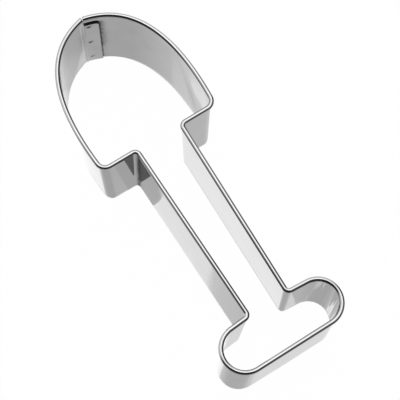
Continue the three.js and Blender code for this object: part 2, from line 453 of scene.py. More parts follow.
@dataclass(frozen=True)
class StripSection:
    """Section of the strip: a wall that steps in under its rim, where the sheet is rolled outwards."""

    height: float = 24.99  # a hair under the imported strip's, to stay inside its box
    sheet: float = 0.3
    bead_diameter: float = 1.06  # over the outside of the roll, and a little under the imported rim's
    set_back: float = 0.15  # how far the wall steps in as it enters the roll
    set_back_depth: float = 0.6  # below the centre of the roll, where that step starts
    lip_angle: float = 75.0  # degrees below level, on the outer side, where the roll ends
    edge_round: float = 0.03  # depth of the rounding of the sheet's cut edges
    squareness: float = 4.0  # of that rounding
    edge_points: int = 5  # round each cut edge
    tongue_points: int = 23  # up the wall to the height of the tongue
    upper_points: int = 4  # from there to the step
    step_points: int = 7
    roll_points: int = 28

    @property
    def half_sheet(self) -> float:
        """Half the thickness of the sheet."""
        return self.sheet / 2.0

    @property
    def roll_radius(self) -> float:
        """Radius of the middle of the rolled sheet."""
        return (self.bead_diameter - self.sheet) / 2.0

    @property
    def bead_height(self) -> float:
        """Height of the centre of the roll."""
        return self.height - self.bead_diameter / 2.0

    @property
    def step_height(self) -> float:
        """Height at which the wall starts to step in."""
        return self.bead_height - self.set_back_depth

    def wall_offset(self, height: np.ndarray) -> np.ndarray:
        """Middle of the wall: on the outline at the foot, and set in evenly as far as the step."""
        return (self.set_back - self.roll_radius) * height / self.step_height

    def middle_line(self, tongue_height: float) -> np.ndarray:
        """Middle of the sheet, from the cutting edge up the wall, through the step and round the roll.

        The wall is straight, the step eases in, and the roll is an arc from the inner side over the top
        to the lip.

        Args:
            tongue_height: height of a row of points that has to be on the line.

        Returns:
            Offsets and heights, one pair to a line.
        """
        lower = np.linspace(self.edge_round, tongue_height, self.tongue_points)
        upper = np.linspace(tongue_height, self.step_height, self.upper_points + 1)[1:]
        wall = np.concatenate([lower, upper])
        share = np.linspace(0.0, 1.0, self.step_points + 1)[1:-1]
        step_in = (self.set_back - self.roll_radius) - self.set_back * smooth_step(share)
        angle = np.radians(np.linspace(180.0, -self.lip_angle, self.roll_points))
        return np.concatenate(
            [
                np.column_stack([self.wall_offset(wall), wall]),
                np.column_stack([step_in, self.step_height + self.set_back_depth * share]),
                np.column_stack([np.cos(angle), np.sin(angle)]) * self.roll_radius
                + [0.0, self.bead_height],
            ]
        )

    def ring(self, tongue_height: float) -> np.ndarray:
        """Closed section, anticlockwise with the cutter's outside to the right.

        Both faces lie half a sheet from the middle line along its normal. The lip and the cutting edge
        close them with rounded ends.

        Args:
            tongue_height: height of a row of points that has to be on both faces.

        Returns:
            Offsets and heights, from the outer face's foot round to the cutting edge.
        """
        middle = self.middle_line(tongue_height)
        way = unit_ways(middle)
        normal = np.column_stack([way[:, 1], -way[:, 0]])
        lip = self.sheet_end(0.0)
        foot = self.sheet_end(math.pi)
        return np.concatenate(
            [
                middle + normal * self.half_sheet,
                middle[-1] + lip[:, :1] * normal[-1] + lip[:, 1:] * way[-1],
                (middle - normal * self.half_sheet)[::-1],
                middle[0] + foot[:, :1] * normal[0] + foot[:, 1:] * way[0],
            ]
        )

    def sheet_end(self, start: float) -> np.ndarray:
        """Rounded end of the sheet, from the face at this angle in radians to the other face."""
        return rounded_end(self.half_sheet, self.edge_round, start, self.edge_points, self.squareness)

    def face_points(self) -> int:
        """Points on each face of the section, from the cutting edge to the lip."""
        return self.tongue_points + self.upper_points + self.step_points - 1 + self.roll_points

    def tongue_bounds(self) -> tuple[int, int]:
        """Places in the section of the tongue's top on its outer and its inner face."""
        return self.tongue_points - 1, 2 * self.face_points() + self.edge_points - self.tongue_points

    def inner_marks(self) -> np.ndarray:
        """1 on the inner face of the section and 0 on the rest of it.

        Returns:
            One value for each point of the section.
        """
        face = np.ones(self.face_points())
        end = np.zeros(self.edge_points)
        return np.concatenate([0.0 * face, end, face, end])

    def cut_marks(self) -> np.ndarray:
        """1 on the sheared ends of the section, which are the lip and the cutting edge, and 0 on its faces.

        Returns:
            One value for each point of the section.
        """
        face = np.zeros(self.face_points())
        end = np.ones(self.edge_points)
        return np.concatenate([face, end, face, end])


class MeshSheet:
    """Gathers grids of points into one mesh, with a UV map in metres and named marks at faces' corners."""

    def __init__(self, *mark_names: str) -> None:
        """Starts an empty mesh.

        Args:
            mark_names: names of the marks that it carries.
        """
        self.points: list[np.ndarray] = []
        self.quads: list[np.ndarray] = []
        self.caps: list[np.ndarray] = []
        self.corners: list[np.ndarray] = []
        self.marks: dict[str, list[np.ndarray]] = {name: [] for name in mark_names}
        self.count = 0

    @staticmethod
    def cells(grid: np.ndarray) -> np.ndarray:
        """The four corners of each cell of a grid, in order round it."""
        return np.stack([grid[:-1, :-1], grid[:-1, 1:], grid[1:, 1:], grid[1:, :-1]], axis=2)

    @staticmethod
    def closed(grid: np.ndarray) -> np.ndarray:
        """A grid with its first column repeated at its end."""
        return np.concatenate([grid, grid[:, :1]], axis=1)

    def add(self, points: np.ndarray) -> np.ndarray:
        """Adds a grid of points.

        Args:
            points: the points, in millimetres.

        Returns:
            The points' numbers, in the same grid.
        """
        flat = points.reshape(-1, 3)
        numbers = np.arange(self.count, self.count + len(flat)).reshape(points.shape[:-1])
        self.points.append(flat * MM)
        self.count += len(flat)
        return numbers

    def skin(self, numbers: np.ndarray, along: np.ndarray, across: np.ndarray, **marks: np.ndarray) -> None:
        """Closes each row of points into a ring and joins every ring to the next with quads.

        Args:
            numbers: numbers of the points, a ring to a row.
            along: distance of each ring along the path, for the UV map.
            across: distance of each point round its ring, and the whole way round at the end.
            marks: each mark's value at each point.
        """
        uv = np.stack(np.meshgrid(along, across, indexing="ij"), axis=-1) * MM
        self.quads.append(self.cells(self.closed(numbers)).reshape(-1, 4))
        self.corners.append(self.cells(uv).reshape(-1, 2))
        for name, rows in self.marks.items():
            rows.append(self.cells(self.closed(marks[name])).ravel())

    def cap(self, numbers: np.ndarray) -> None:
        """Closes one end with a single face through these points, in order. Its marks are all 1."""
        self.caps.append(numbers)

    def mesh(self, name: str, sharp_angle: float) -> bpy.types.Mesh:
        """Makes the mesh, smooth but for edges sharper than an angle.

        Args:
            name: name of the mesh.
            sharp_angle: edges that turn more than this many degrees stay sharp.

        Returns:
            The finished mesh.
        """
        mesh = bpy.data.meshes.new(name)
        faces = np.concatenate(self.quads).tolist() + [cap.tolist() for cap in self.caps]
        mesh.from_pydata(np.concatenate(self.points).tolist(), [], faces)
        uv = np.zeros((len(mesh.loops), 2))
        filled = np.concatenate(self.corners)
        uv[: len(filled)] = filled
        mesh.uv_layers.new(name="strip").data.foreach_set("uv", uv.ravel())
        for mark, rows in self.marks.items():
            values = np.ones(len(mesh.loops))
            values[: len(filled)] = np.concatenate(rows)
            mesh.attributes.new(mark, "FLOAT", "CORNER").data.foreach_set("value", values)
        mesh.polygons.foreach_set("use_smooth", np.ones(len(mesh.polygons), dtype=bool))
        mesh.set_sharp_from_angle(angle=math.radians(sharp_angle))
        mesh.validate()
        mesh.update()
        return mesh


class NodeSheet:
    """A material's or world's nodes, with short ways to add and join them."""

    def __init__(self, tree: bpy.types.NodeTree) -> None:
        """Clears the tree and keeps it."""
        self.tree = tree
        tree.nodes.clear()

    def feed(self, socket: bpy.types.NodeSocket, value: object) -> None:
        """Joins a socket to an input, or sets the input to a number, vector or colour.

        Args:
            socket: the input.
            value: what it gets.
        """
        if isinstance(value, bpy.types.NodeSocket):
            self.tree.links.new(value, socket)
        else:
            socket.default_value = value

    def add(self, kind: str, **values: object) -> bpy.types.Node:
        """Adds a node and feeds its inputs by name, with spaces as underscores.

        Args:
            kind: the node's type.
            values: what each input gets that isn't left at its default.

        Returns:
            The new node.
        """
        node = self.tree.nodes.new(kind)
        for name, value in values.items():
            self.feed(node.inputs[name.replace("_", " ")], value)
        return node

    def work_out(self, kind: str, operation: str, *values: object) -> bpy.types.Node:
        """Adds a node that works out a sum, such as MULTIPLY, from its inputs in order.

        Args:
            kind: ShaderNodeMath or ShaderNodeVectorMath.
            operation: the sum.
            values: a number, vector or socket for each input.

        Returns:
            The new node.
        """
        node = self.tree.nodes.new(kind)
        node.operation = operation
        for socket, value in zip(node.inputs, values):
            self.feed(socket, value)
        return node

    def math(self, operation: str, *values: object) -> bpy.types.NodeSocket:
        """One sum of numbers or sockets, such as ADD or MULTIPLY."""
        return self.work_out("ShaderNodeMath", operation, *values).outputs[0]

    def ramp(
        self, value: bpy.types.NodeSocket, low: float, high: float, bottom: float = 0.0, top: float = 1.0
    ) -> bpy.types.NodeSocket:
        """Maps a value from one range to another, held at both ends.

        Args:
            value: the socket to read.
            low: value that gives the bottom.
            high: value that gives the top.
            bottom: result at the low end.
            top: result at the high end.

        Returns:
            The socket of the result.
        """
        node = self.add(
            "ShaderNodeMapRange", Value=value, From_Min=low, From_Max=high, To_Min=bottom, To_Max=top
        )
        return node.outputs["Result"]

    def blend(self, share: object, first: object, second: object) -> bpy.types.NodeSocket:
        """Mixes two shaders.

        Args:
            share: share of the second shader.
            first: socket of the first shader.
            second: socket of the second shader.

        Returns:
            The socket of the mixed shader.
        """
        node = self.tree.nodes.new("ShaderNodeMixShader")
        for socket, value in zip(node.inputs, (share, first, second)):
            self.feed(socket, value)
        return node.outputs[0]

    def tone(self, share: bpy.types.NodeSocket, first: object, second: object) -> bpy.types.NodeSocket:
        """Mixes two colours.

        Args:
            share: share of the second colour.
            first: the first colour, or its socket.
            second: the second colour, or its socket.

        Returns:
            The socket of the mixed colour.
        """
        node = self.add("ShaderNodeMix", Factor=share)
        node.data_type = "RGBA"
        self.feed(node.inputs[6], first)
        self.feed(node.inputs[7], second)
        return node.outputs[2]

    def noise(
        self, vector: bpy.types.NodeSocket, scale: float, detail: float, rough: float
    ) -> bpy.types.NodeSocket:
        """Grey noise on a vector, at a number of cells to the vector's unit.

        Args:
            vector: where to read the noise.
            scale: cells to the unit.
            detail: how many finer layers lie on the first.
            rough: strength of each finer layer against the one before.

        Returns:
            The socket of the noise.
        """
        node = self.add(
            "ShaderNodeTexNoise", Vector=vector, Scale=scale, Detail=detail, Roughness=rough
        )
        return node.outputs["Fac"]

    def stretched(self, vector: bpy.types.NodeSocket, along: float, across: float) -> bpy.types.NodeSocket:
        """A UV map scaled along and across the strip."""
        return self.add("ShaderNodeMapping", Vector=vector, Scale=(along, across, 1.0)).outputs["Vector"]

    def mark(self, name: str) -> bpy.types.NodeSocket:
        """Reads one of the mesh's marks.

        Args:
            name: name of the mark.

        Returns:
            The socket of its value.
        """
        node = self.tree.nodes.new("ShaderNodeAttribute")
        node.attribute_name = name
        return node.outputs["Fac"]


Colour = tuple[float, float, float, float]
Range = tuple[float, float]


def grey(level: float) -> Colour:
    """A neutral colour."""
    return (level, level, level, 1.0)


def new_finish(name: str) -> tuple[bpy.types.Material, NodeSheet]:
    """Starts a material.

    Args:
        name: name of the material.

    Returns:
        The material and its empty sheet of nodes.
    """
    material = bpy.data.materials.new(name)
    material.use_nodes = True
    return material, NodeSheet(material.node_tree)


@dataclass(frozen=True)
class BrightSteel:
    """Bright rolled stainless strip: near mirror, a little wavy, with rolling lines, smears, stains and
    painted shade.
    """

    colour: Colour = grey(0.5)
    shade: Colour = grey(0.47)  # in the smears
    dark_stain_and_shade: Colour = grey(0.02)  # of the marks beside the welded lap and of specks, with painted shade at the joggle's step and the left neck's corner
    cut: Colour = grey(0.25)  # on sheared edges
    edge_tint: Colour = grey(0.72)  # of the gloss at a low angle
    roughness: float = 0.04
    smear_roughness: float = 0.04  # added in the smears, as the next three are in lines, in stains and painted shade, and in cuts
    line_roughness: float = 0.02
    stain_roughness: float = 0.16
    cut_roughness: float = 0.7
    lines: Range = (90.0, 16000.0)  # cells of the rolling lines to the metre, along and across the strip
    line_range: Range = (0.3, 0.7)  # noise from the smoothest to the roughest line
    line_depth: float = 0.0004
    waves: Range = (170.0, 22.0)  # cells of the bent sheet's waves to the metre, along and across
    wave_depth: float = 0.06
    creases: Range = (620.0, 9.0)  # cells of the upright creases to the metre, along and across
    crease_range: Range = (0.5, 0.75)  # noise from the flat sheet to the top of a crease
    crease_depth: float = 0.07
    smear_scale: float = 160.0  # cells to the metre
    smear_range: Range = (0.38, 0.72)  # noise from clean to smeared
    speck_scale: float = 900.0
    speck_range: Range = (0.72, 0.78)  # noise from clean to the middle of a speck
    speck_strength: float = 0.3
    mottle: Range = (1600.0, 420.0)  # cells of the grain of the stains and painted shade to the metre, along and across
    mottle_range: Range = (0.3, 0.65)  # noise from the thinnest to the thickest grain
    mottle_levels: Range = (0.5, 1.1)  # how many times the mark's strength there

    def material(self) -> bpy.types.Material:
        """The finish, on the strip's own UV map and marks and on Object coordinates.

        Returns:
            The material.
        """
        material, sheet = new_finish("bright_steel_strip")
        uv = sheet.add("ShaderNodeUVMap")
        uv.uv_map = "strip"
        flat = uv.outputs["UV"]
        place = sheet.add("ShaderNodeTexCoord").outputs["Object"]
        lines = sheet.noise(sheet.stretched(flat, *self.lines), 1.0, detail=2.0, rough=0.6)
        waves = sheet.noise(sheet.stretched(flat, *self.waves), 1.0, detail=1.0, rough=0.4)
        creases = sheet.noise(sheet.stretched(flat, *self.creases), 1.0, detail=1.0, rough=0.5)
        grain = sheet.noise(sheet.stretched(flat, *self.mottle), 1.0, detail=4.0, rough=0.6)
        mottle = sheet.ramp(grain, *self.mottle_range, *self.mottle_levels)
        smears = sheet.ramp(sheet.noise(place, self.smear_scale, detail=4.0, rough=0.55), *self.smear_range)
        dots = sheet.noise(place, self.speck_scale, detail=2.0, rough=0.5)
        specks = sheet.ramp(dots, *self.speck_range, 0.0, self.speck_strength)
        cut = sheet.mark("cut")
        # This mark holds weld stains and dark bands by the lap, and painted shade at the joggle's step and
        # the left neck's corner.
        scorched = sheet.math("MULTIPLY", sheet.mark("scorch"), mottle)
        dark_stain_and_shade = sheet.math("MINIMUM", sheet.math("MAXIMUM", scorched, specks), 1.0)
        steel = sheet.tone(smears, self.colour, self.shade)
        tone = sheet.tone(cut, sheet.tone(dark_stain_and_shade, steel, self.dark_stain_and_shade), self.cut)
        rough = sheet.math(
            "ADD",
            sheet.ramp(smears, 0.0, 1.0, self.roughness, self.roughness + self.smear_roughness),
            sheet.ramp(lines, *self.line_range, 0.0, self.line_roughness),
        )
        rough = sheet.math("MULTIPLY_ADD", dark_stain_and_shade, self.stain_roughness, rough)
        rough = sheet.math("MULTIPLY_ADD", cut, self.cut_roughness, rough)
        lined = sheet.add("ShaderNodeBump", Height=lines, Distance=self.line_depth * MM)
        creased = sheet.add(
            "ShaderNodeBump",
            Strength=sheet.mark("crease"),
            Height=sheet.ramp(creases, *self.crease_range),
            Distance=self.crease_depth * MM,
            Normal=lined.outputs["Normal"],
        )
        waved = sheet.add(
            "ShaderNodeBump", Height=waves, Distance=self.wave_depth * MM, Normal=creased.outputs["Normal"]
        )
        shader = sheet.add(
            "ShaderNodeBsdfPrincipled",
            Base_Color=tone,
            Metallic=1.0,
            Roughness=rough,
            Specular_Tint=self.edge_tint,
            Normal=waved.outputs["Normal"],
        )
        sheet.add("ShaderNodeOutputMaterial", Surface=shader.outputs["BSDF"])
        return material


@dataclass(frozen=True)
class FusedSteel:
    """Fused steel of a spot weld: bright on its ring, and burnt dark and dull in its print."""

    colour: Colour = grey(0.5)
    burnt: Colour = grey(0.015)
    roughness: float = 0.12
    burnt_roughness: float = 0.3  # added where it is burnt
    grain_scale: float = 5000.0  # cells to the metre
    grain_depth: float = 0.01
    patch_range: Range = (0.3, 0.5)  # grain from the thinnest to the full burn
    patch_levels: Range = (0.55, 1.0)  # share of the burn that is left there

    def material(self) -> bpy.types.Material:
        """The finish, on the weld's own mark and on Object coordinates.

        Returns:
            The material.
        """
        material, sheet = new_finish("fused_steel_weld")
        place = sheet.add("ShaderNodeTexCoord").outputs["Object"]
        grain = sheet.noise(place, self.grain_scale, detail=3.0, rough=0.6)
        patchy = sheet.ramp(grain, *self.patch_range, *self.patch_levels)
        burn = sheet.math("MULTIPLY", sheet.mark("burn"), patchy)
        bump = sheet.add("ShaderNodeBump", Height=grain, Distance=self.grain_depth * MM)
        shader = sheet.add(
            "ShaderNodeBsdfPrincipled",
            Base_Color=sheet.tone(burn, self.colour, self.burnt),
            Metallic=1.0,
            Roughness=sheet.ramp(burn, 0.0, 1.0, self.roughness, self.roughness + self.burnt_roughness),
            Normal=bump.outputs["Normal"],
        )
        sheet.add("ShaderNodeOutputMaterial", Surface=shader.outputs["BSDF"])
        return material


def put(name: str, data: bpy.types.ID) -> bpy.types.Object:
    """Puts a mesh, lamp or camera into the scene at the origin.

    Args:
        name: name of the object.
        data: its mesh, lamp or camera.

    Returns:
        The new object.
    """
    thing = bpy.data.objects.new(name, data)
    bpy.context.scene.collection.objects.link(thing)
    return thing


def show(name: str, mesh: bpy.types.Mesh, material: bpy.types.Material) -> bpy.types.Object:
    """Puts a mesh, in place, into the scene in one material."""
    mesh.materials.append(material)
    return put(name, mesh)


@dataclass(frozen=True)
class LapStainsAndShade:
    """Stains, painted shade and dark bands round the lap. Each is a bell curve across its own middle line.

    Strengths are shares of the darkest mark. A reach is the length in which a bell curve falls to about a
    third.
    """

    haze_past: float = 0.2  # from the tongue's free edge to the middle of the haze on the wall
    haze_reach: float = 1.0
    haze_low: float = 0.15  # strength at the cutting edge
    haze_gain: float = 0.65  # by how much it is stronger at the top
    haze_foot: float = 4.0  # height where it starts to gain
    haze_rise: float = 8.0  # over which it gains
    line_past: float = 0.16  # from the tongue's free edge to the dark line beside it
    line_reach: float = 0.14
    line_strength: float = 1.2
    top: float = 23.0  # height where the haze and the line end
    top_fade: float = 1.2  # below that, where they start to fade
    patch_past: float = 1.0  # from the strip's left end to the patch before the joggle
    patch_reach: float = 0.8
    patch_strength: float = 0.35
    patch_height: float = 14.0
    patch_rise: float = 4.0  # its reach up and down
    bend_reach: float = 0.14  # of the line of painted shade along the joggle's step, where it meets the tongue
    bend_low: float = 0.25  # strength at the cutting edge
    bend_gain: float = 0.75  # by how much it is stronger at the top
    bend_foot: float = 11.0  # height where it starts to gain
    bend_rise: float = 10.0  # over which it gains
    wall_most: float = 1.5  # limit of the marks' sum on the wall
    edge_reach: float = 0.12  # of the darker band along the tongue's free edge
    edge_strength: float = 0.5
    weld_reach: float = 0.75  # of the stain round each weld, along the strip
    weld_rise: float = 0.4  # its reach up and down
    weld_strength: float = 0.6

    def joggle_step_shade(self, distance: np.ndarray, height: np.ndarray) -> np.ndarray:
        """Painted shade where the joggle's step meets the tongue: a bell curve, stronger towards the top.

        Args:
            distance: distance of each point from the line, along the strip.
            height: height of each point.

        Returns:
            Strengths in the grid of both.
        """
        gain = self.bend_gain * smooth_step((height - self.bend_foot) / self.bend_rise)
        return bell(distance, self.bend_reach) * (self.bend_low + gain)

    def on_wall(self, past: np.ndarray, left: np.ndarray, height: np.ndarray) -> np.ndarray:
        """How dark the wall is made: the sum of four marks, held to a limit.

        A haze, which gains towards the top, and a dark line follow the tongue's free edge, and both end
        under the rim. A round patch lies before the joggle, and painted shade where its step meets the
        tongue.

        Args:
            past: distance of each station past the tongue's free edge, in a column.
            left: distance of each station from the strip's left end, in a column.
            height: height of each point of the section.

        Returns:
            Strengths for each station and point.
        """
        gain = self.haze_gain * smooth_step((height - self.haze_foot) / self.haze_rise)
        haze = bell(past - self.haze_past, self.haze_reach) * (self.haze_low + gain)
        line = bell(past - self.line_past, self.line_reach) * self.line_strength
        below = smooth_step((self.top - height) / self.top_fade)
        patch = self.patch_strength * bell(left - self.patch_past, self.patch_reach)
        patch = patch * bell(height - self.patch_height, self.patch_rise)
        # The last term is painted shade along the joggle's step.
        return np.clip((haze + line) * below + patch + self.joggle_step_shade(left, height), 0.0, self.wall_most)


@dataclass
class SteelBand:
    """The strip, bent round the outline, with a tongue at its left end that laps inside its right end."""

    outline: SpadeOutline = field(default_factory=SpadeOutline)
    section: StripSection = field(default_factory=StripSection)
    stains_and_shade: LapStainsAndShade = field(default_factory=LapStainsAndShade)
    seam_gap: float = 0.3  # between the two ends of the rim
    tab_length: float = 3.5  # of the tongue, from the tip
    tab_height: float = 22.0
    tab_corner: float = 0.8  # radius of the corner at its free end
    lap_gap: float = 0.08  # at the top of the tongue
    foot_gap: float = 0.05  # at the cutting edge, where the tongue is pressed against the wall
    joggle_length: float = 0.9  # over which the wall steps in, before the seam
    kink_length: float = 1.0  # of the dent where the tongue's top corner was pressed in
    kink_depth: float = 0.1
    kink_foot: float = 9.0  # height where the dent ends
    bulge_tilt: float = 0.018  # of the bulge before the right shoulder
    bulge_start: float = 23.0  # from the tip, under the rim
    bulge_slant: float = 0.28  # how much further along it starts, for each length down
    bulge_ease: float = 3.8  # along the strip, from where it starts to its full size
    bulge_end: float = 3.0  # before the shoulder's bend, where it starts to ease out
    bulge_middle: float = 15.0  # height below which it eases out
    weld_distance: float = 1.1  # from the tip to the welds, along the strip
    weld_foot: float = 2.7  # height of the lowest weld
    weld_top: float = 1.2  # from the highest weld to the top of the tongue
    neck_shade: float = 1.3  # strength of the painted shade in the left neck's corner
    neck_shade_drop: float = 0.6  # from the neck's corner down the shaft
    neck_shade_reach: float = 0.5
    crease_start: float = 7.5  # out from the middle of the grip, where its creased ends start
    crease_fade: float = 2.5  # from there to the full creases
    rim_fade: float = 1.5  # below the step under the rim, where the painted shade and creases have faded in
    joggle_points: int = 14  # along the joggle
    flank_points: int = 96  # along the rest of each flank
    tab_points: int = 16  # along the tongue
    corner_points: int = 9  # round the tongue's corner
    turn_points: int = 5  # across the tip, between the two ends of the rim
    sharp_angle: float = 38.0

    @property
    def seam(self) -> float:
        """Distance from the tip to either end of the rim."""
        return self.seam_gap / 2.0

    def weld_heights(self) -> np.ndarray:
        """Heights of the welds, from the lowest up."""
        return np.linspace(self.weld_foot, self.tab_height - self.weld_top, len(WeldPlace))

    def lap_step(self, height: np.ndarray) -> np.ndarray:
        """How far in the middle of the tongue lies from the middle of the wall: wider apart at the top."""
        return self.section.sheet + self.foot_gap + (self.lap_gap - self.foot_gap) * height / self.tab_height

    def half_stations(self) -> Stations:
        """Stations of the right half, close together over the lap.

        Returns:
            Stations from the end of the rim to the middle of the grip's end.
        """
        joggle = self.seam + self.joggle_length
        close = np.linspace(self.seam, joggle, self.joggle_points)
        rest = np.linspace(joggle, self.outline.flank_length(), self.flank_points + 2)[1:-1]
        return self.outline.half(np.concatenate([close, rest]))

    def step_in(self, left: np.ndarray, height: np.ndarray) -> np.ndarray:
        """How far the wall steps in towards the tongue.

        An ease over the last stations carries the wall in by the lap's step. A dent, the square of a sine
        along the strip that fades towards the foot, is pressed in beside the tongue's top. Both fade out
        between the tongue's top and the rim.

        Args:
            left: distance of each station from the left end of the rim.
            height: height of each point of the section.

        Returns:
            Distances for each station and point.
        """
        section = self.section
        ease = smooth_step(1.0 - left / self.joggle_length)
        dent = np.sin(math.pi * np.clip(left / self.kink_length, 0.0, 1.0)) ** 2 * self.kink_depth
        lift = np.clip((height - self.kink_foot) / (self.tab_height - self.kink_foot), 0.0, 1.0)
        fade = smooth_step((section.step_height - height) / (section.step_height - self.tab_height))
        return (ease[:, None] * self.lap_step(height) + dent[:, None] * lift) * fade

    def corner_bulge(self, along: np.ndarray, height: np.ndarray) -> np.ndarray:
        """How far the wall bulges out before the right shoulder, where bending has strained it.

        Going down from the rim it grows by an even tilt, and below its middle it eases back to nothing.
        Along the strip it eases in from a slanting line and out again before the shoulder's bend.

        Args:
            along: distance of each station from the right end of the rim.
            height: height of each point of the section.

        Returns:
            Distances for each station and point.
        """
        section = self.section
        place = along[:, None] + self.seam
        line = self.bulge_start + self.bulge_slant * (section.step_height - height)
        inward = smooth_step((place - line) / self.bulge_ease)
        outward = smooth_step((self.outline.flank_length() - place) / self.bulge_end)
        drop = np.clip(section.step_height - height, 0.0, None)
        return self.bulge_tilt * drop * smooth_step(height / self.bulge_middle) * inward * outward

    def tab_distances(self) -> np.ndarray:
        """Distances from the tip of the tongue's stations, negative on the left flank.

        Returns:
            One distance for each station, close together round the tongue's corner.
        """
        bend = self.tab_length - self.tab_corner
        angle = np.linspace(0.0, math.pi / 2.0, self.corner_points + 1)[1:]
        return np.concatenate(
            [
                np.linspace(-self.seam, self.seam, self.turn_points + 2)[1:-1],
                np.linspace(self.seam, bend, self.tab_points),
                bend + self.tab_corner * np.sin(angle),
            ]
        )

    def tab_stations(self) -> Stations:
        """Stations of the tongue, from the left end of the rim across the tip and along the right flank.

        Returns:
            The stations.
        """
        right = self.outline.flank_stations(self.tab_distances()[self.turn_points :])
        return self.left_end().between(right, self.turn_points).joined(right)

    def left_end(self) -> Stations:
        """The one station at the left end of the rim."""
        return self.outline.flank_stations(np.array([self.seam])).mirrored()

    def tab_tops(self) -> np.ndarray:
        """Height of the tongue's top at each of its stations, which falls in a quarter circle at its end.

        Returns:
            The heights.
        """
        into = np.clip(self.tab_distances() - self.tab_length + self.tab_corner, 0.0, self.tab_corner)
        return self.tab_height - self.tab_corner + np.sqrt(self.tab_corner**2 - into**2)

    def wall_scorch(self, along: np.ndarray, left: np.ndarray, height: np.ndarray) -> np.ndarray:
        """How dark the lap's marks and painted shade make the wall, which shows on its inner face only.

        Args:
            along: distance of each station from the right end of the rim.
            left: distance of each station from the left end.
            height: height of each point of the section.

        Returns:
            Strengths for each station and point.
        """
        past = along + self.seam - self.tab_length
        return self.stains_and_shade.on_wall(past[:, None], left[:, None], height) * self.section.inner_marks()

    def tab_scorch(self, distance: np.ndarray, height: np.ndarray) -> np.ndarray:
        """How dark the tongue is: at its free edge and at welds, with painted shade where it leaves the
        joggle.

        Each mark is a bell curve. A weld's is the product of one along the strip and one up it.

        Args:
            distance: distance from the tip of each point.
            height: height of each point.

        Returns:
            Strengths in the same grid.
        """
        stains_and_shade = self.stains_and_shade
        edge = stains_and_shade.edge_strength * bell(self.tab_length - distance, stains_and_shade.edge_reach)
        beside = stains_and_shade.weld_strength * bell(distance - self.weld_distance, stains_and_shade.weld_reach)
        spots = sum(bell(height - weld, stains_and_shade.weld_rise) for weld in self.weld_heights())
        # painted shade along the joggle's step
        bend = stains_and_shade.joggle_step_shade(distance + self.seam, height)
        return np.clip(edge + bend + beside * spots, 0.0, 1.0)

    def neck_corner_shade(self, rim: np.ndarray, height: np.ndarray) -> np.ndarray:
        """Painted shade outside the left neck's corner: a bell curve round a point, eased in below the rim.

        Args:
            rim: point of each station on the rim.
            height: height of each point of the section.

        Returns:
            Strengths for each station and point.
        """
        neck = self.outline.corners(self.outline.rim_lean)["neck"]
        middle = np.array([-neck[0], neck[1] - self.neck_shade_drop])
        near = bell(np.linalg.norm(rim - middle, axis=1), self.neck_shade_reach)
        below = smooth_step((self.section.step_height - height) / self.rim_fade)
        return self.neck_shade * near[:, None] * below * (1.0 - self.section.inner_marks())

    def wall_creases(self, rim: np.ndarray, height: np.ndarray) -> np.ndarray:
        """How strongly bending has creased the wall: eased in towards the grip's ends and below the rim.

        The grip is the part of the strip on the far side of the origin from the tip.

        Args:
            rim: point of each station on the rim.
            height: height of each point of the section.

        Returns:
            Strengths for each station and point.
        """
        ends = smooth_step((np.abs(rim[:, 0]) - self.crease_start) / self.crease_fade) * (rim[:, 1] < 0.0)
        below = smooth_step((self.section.step_height - height) / self.rim_fade)
        return ends[:, None] * below

    def mesh(self) -> bpy.types.Mesh:
        """The strip and its tongue as one closed mesh.

        Rings of the section follow the stations, moved in by the joggle's step and out by the bulge. The
        tongue's rings carry on from the last, with the section's lower part closed by a rounded top edge.

        Returns:
            The mesh.
        """
        section = self.section
        ring = section.ring(self.tab_height)
        height = ring[:, 1]
        right = self.half_stations()
        whole = right.joined(right.mirrored().part(1, len(right.rim)))
        along = run_lengths(whole.rim)
        left = along[-1] - along
        offset = ring[:, 0] - self.step_in(left, height) + self.corner_bulge(along, height)
        sheet = MeshSheet("cut", "scorch", "crease")
        numbers = sheet.add(whole.place(offset, np.broadcast_to(height, offset.shape), section.bead_height))
        sheet.skin(
            numbers,
            along,
            run_lengths(np.concatenate([ring, ring[:1]])),
            cut=np.broadcast_to(section.cut_marks(), offset.shape),
            # the wall's mark also carries painted shade at the joggle's step and in the left neck's corner
            scorch=self.wall_scorch(along, left, height) + self.neck_corner_shade(whole.rim, height),
            crease=self.wall_creases(whole.rim, height),
        )
        sheet.cap(numbers[0, ::-1])
        first, last = section.tongue_bounds()
        sheet.cap(numbers[-1, first : last + 1])
        self.add_tongue(sheet, ring, numbers[-1], along[-1])
        return sheet.mesh("steel_band_sheet", self.sharp_angle)

